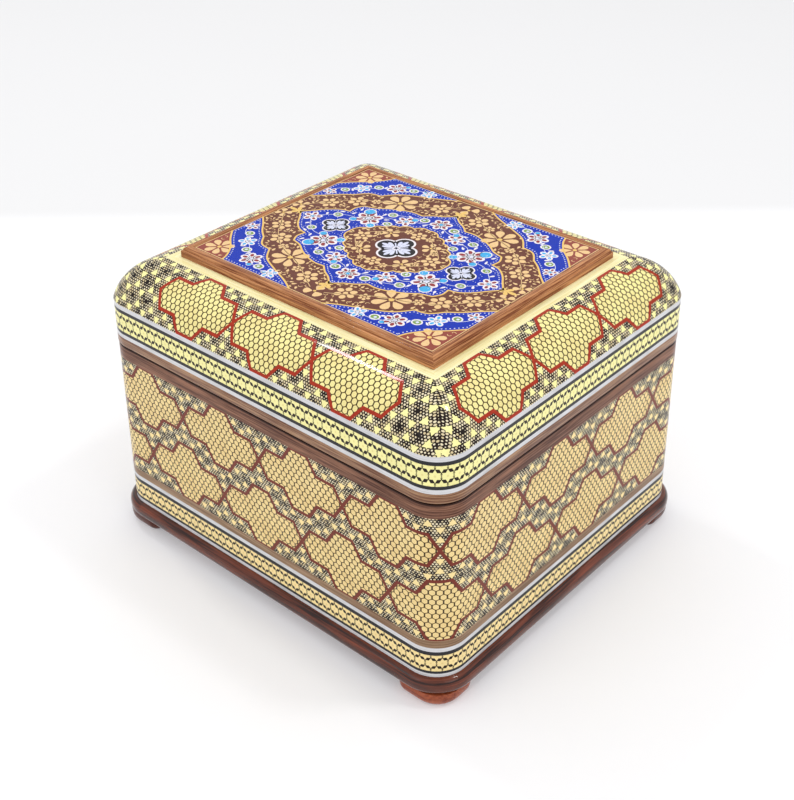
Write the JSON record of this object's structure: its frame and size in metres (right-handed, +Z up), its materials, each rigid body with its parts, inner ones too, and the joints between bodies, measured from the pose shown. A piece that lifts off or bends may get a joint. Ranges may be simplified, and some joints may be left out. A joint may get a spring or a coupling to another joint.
{
  "type": "inlaid jewelry box",
  "caption": "Rectangular wooden jewelry box with geometric marquetry, domed hinged lid, raised framed panel on top, bullnose plinth and corner feet.",
  "frame": {"origin": "middle of the underside of the feet, at the centre of the box's bounding rectangle", "axes": "+X along the long front of the box, to the right as seen from the front; +Y to the back, where the hinges are; +Z up"},
  "size_m": [0.1548, 0.1372, 0.1084],
  "materials": {
    "foot_wood": "lacquered",
    "plinth_wood": "glossy lacquer",
    "carcass_wood": "sanded",
    "bone_line": "lacquered bone",
    "ebony_line": "lacquered",
    "star_inlay": "lacquered marquetry",
    "field_inlay": "lacquered marquetry",
    "rim_wood": "satin lacquer",
    "border_wood": "lacquered",
    "frame_wood": "satin lacquer",
    "painted_panel": "painted and lacquered",
    "velvet": "velvet",
    "screw_brass": "polished",
    "pin_brass": "polished",
    "hinge_brass": "satin"
  },
  "bodies": {
    "box": {"foot_front_right": "foot_wood", "foot_front_left": "foot_wood", "foot_back_right": "foot_wood", "foot_back_left": "foot_wood", "plinth_board": "plinth_wood", "bottom_board": "carcass_wood", "wall_front": "carcass_wood", "wall_back": "carcass_wood", "wall_left": "carcass_wood", "wall_right": "carcass_wood", "base_white_line": "bone_line", "base_black_line": "ebony_line", "base_inlay_band": "star_inlay", "base_upper_black_line": "ebony_line", "base_upper_white_line": "bone_line", "body_walnut_strip": "rim_wood", "body_inlay_sheet": "field_inlay", "body_rim_front": "rim_wood", "body_rim_back": "rim_wood", "body_rim_left": "rim_wood", "body_rim_right": "rim_wood", "lining_floor_pad": "velvet", "lining_long_pads": "velvet", "lining_short_pads": "velvet", "hinge_body_leaves": "hinge_brass", "hinge_body_screws": "screw_brass", "hinge_pins": "pin_brass"},
    "lid": {"lid_rim_front": "rim_wood", "lid_rim_back": "rim_wood", "lid_rim_left": "rim_wood", "lid_rim_right": "rim_wood", "lid_white_line": "bone_line", "lid_black_line": "ebony_line", "lid_inlay_band": "star_inlay", "lid_upper_black_line": "ebony_line", "lid_upper_white_line": "bone_line", "lid_wall_front": "carcass_wood", "lid_wall_back": "carcass_wood", "lid_wall_left": "carcass_wood", "lid_wall_right": "carcass_wood", "lid_top_board": "carcass_wood", "lid_shoulder_inlay": "field_inlay", "border_strip_front": "border_wood", "border_strip_back": "border_wood", "border_strip_left": "border_wood", "border_strip_right": "border_wood", "frame_moulding_front": "frame_wood", "frame_moulding_back": "frame_wood", "frame_moulding_left": "frame_wood", "frame_moulding_right": "frame_wood", "painted_panel": "painted_panel", "lid_lining_ceiling_pad": "velvet", "lid_lining_long_pads": "velvet", "lid_lining_short_pads": "velvet", "hinge_lid_leaves": "hinge_brass", "hinge_lid_screws": "screw_brass"}
  },
  "joints": [
    {"name": "lid_hinge", "type": "hinge", "parent": "box", "child": "lid", "pos_m": [0, 0.06385, 0.07515], "axis": [-1, 0, 0], "range_deg": [0, 100]}
  ]
}
